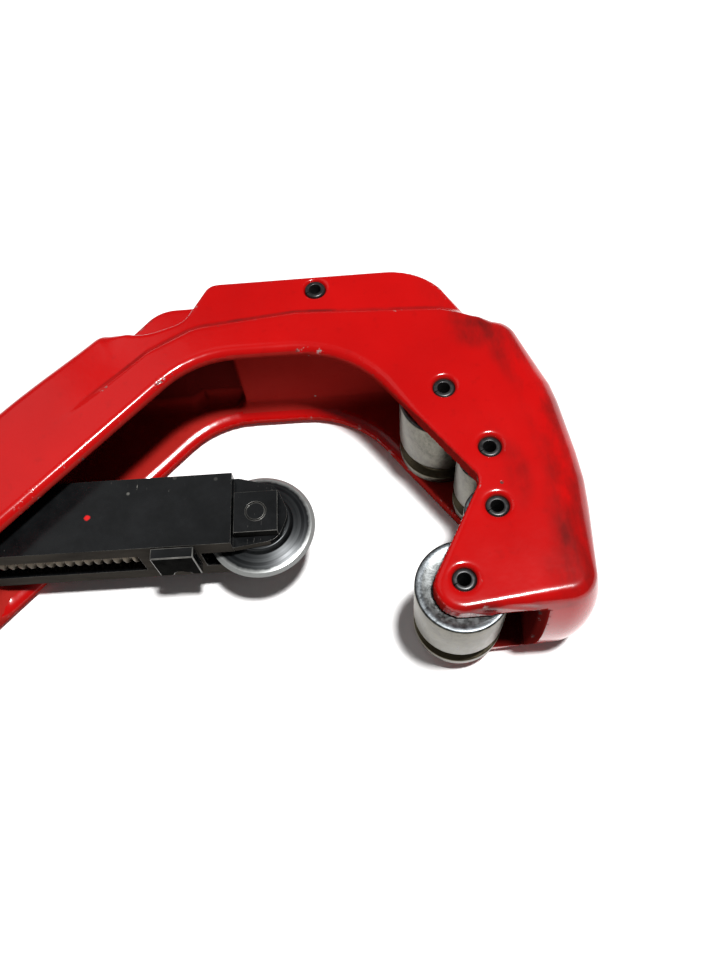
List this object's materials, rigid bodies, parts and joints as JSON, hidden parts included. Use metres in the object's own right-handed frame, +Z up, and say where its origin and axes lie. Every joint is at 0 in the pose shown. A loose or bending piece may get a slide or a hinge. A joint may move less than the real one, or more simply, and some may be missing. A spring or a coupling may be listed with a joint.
{
  "type": "pipe cutter",
  "caption": "Quick-acting tube cutter: curved cast frame with rollers in its jaw, a sliding cutter wheel fed by a screw and knob, and a fold-out reamer on its back.",
  "frame": {"origin": "on the underside of the jaw, the face the tool lies on, where the feed axis passes 16 mm in front of the outer rollers' pins", "axes": "+Z up out of the surface the tool lies on, along the roller pins; +X along the feed, towards the jaw; +Y towards the frame's back"},
  "size_m": [0.269, 0.089, 0.0325],
  "materials": {
    "paint": "gloss",
    "zinc": "zinc plated, grained",
    "black_oxide": "black oxide, semi-gloss",
    "tool_steel": "ground",
    "bronze": "sintered",
    "plastic": "fine texture"
  },
  "bodies": {
    "frame": {"frame": "paint", "upper_outer_roller_pin": "black_oxide", "upper_inner_roller_pin": "black_oxide", "lower_inner_roller_pin": "black_oxide", "lower_outer_roller_pin": "black_oxide", "reamer_pin": "black_oxide", "release_lever_pin": "black_oxide", "release_spring": "tool_steel"},
    "upper_outer_roller": {"upper_outer_roller": "zinc"},
    "upper_inner_roller": {"upper_inner_roller": "zinc"},
    "lower_inner_roller": {"lower_inner_roller": "zinc"},
    "lower_outer_roller": {"lower_outer_roller": "zinc"},
    "reamer": {"reamer_blade": "tool_steel"},
    "slide": {"slide": "black_oxide", "screw_bearing_block": "black_oxide", "screw_bush": "bronze", "wheel_pin": "black_oxide", "wheel_pin_clip": "tool_steel"},
    "cutter_wheel": {"cutter_wheel": "tool_steel"},
    "feed_screw": {"feed_screw": "tool_steel", "thrust_washer": "zinc", "knob": "plastic", "knob_pin": "black_oxide"},
    "release_lever": {"release_lever": "black_oxide"}
  },
  "joints": [
    {"name": "slide_travel", "type": "slide", "parent": "frame", "child": "slide", "axis": [1, 0, 0], "range_m": [-0.04, 0.028]},
    {"name": "feed_screw_turn", "type": "hinge", "parent": "slide", "child": "feed_screw", "pos_m": [-0.216, -0.0036, 0.01625], "axis": [1, 0, 0], "range_deg": [-6850, 4800]},
    {"name": "cutter_wheel_spin", "type": "hinge", "parent": "slide", "child": "cutter_wheel", "pos_m": [-0.058, -0.0012, 0.01625], "axis": [0, 0, 1], "continuous": true},
    {"name": "upper_outer_roller_spin", "type": "hinge", "parent": "frame", "child": "upper_outer_roller", "pos_m": [-0.016, 0.0219, 0.01625], "axis": [0, 0, 1], "continuous": true},
    {"name": "upper_inner_roller_spin", "type": "hinge", "parent": "frame", "child": "upper_inner_roller", "pos_m": [-0.0078, 0.0068, 0.01625], "axis": [0, 0, 1], "continuous": true},
    {"name": "lower_inner_roller_spin", "type": "hinge", "parent": "frame", "child": "lower_inner_roller", "pos_m": [-0.0078, -0.0068, 0.01625], "axis": [0, 0, 1], "continuous": true},
    {"name": "lower_outer_roller_spin", "type": "hinge", "parent": "frame", "child": "lower_outer_roller", "pos_m": [-0.016, -0.0219, 0.01625], "axis": [0, 0, 1], "continuous": true},
    {"name": "reamer_fold", "type": "hinge", "parent": "frame", "child": "reamer", "pos_m": [-0.0434, 0.0519, 0.01625], "axis": [0, 0, -1], "range_deg": [0, 135]},
    {"name": "release_lever_press", "type": "hinge", "parent": "frame", "child": "release_lever", "pos_m": [-0.14, -0.018, 0.01625], "axis": [0, 0, 1], "range_deg": [0, 8], "stiffness_Nm_per_rad": 1.5, "springref_deg": -5.73, "deforming": ["release_spring"]}
  ],
  "couplings": [
    {"joint": "feed_screw_turn", "follows": "slide_travel", "rad_per_m": 2968.4}
  ]
}
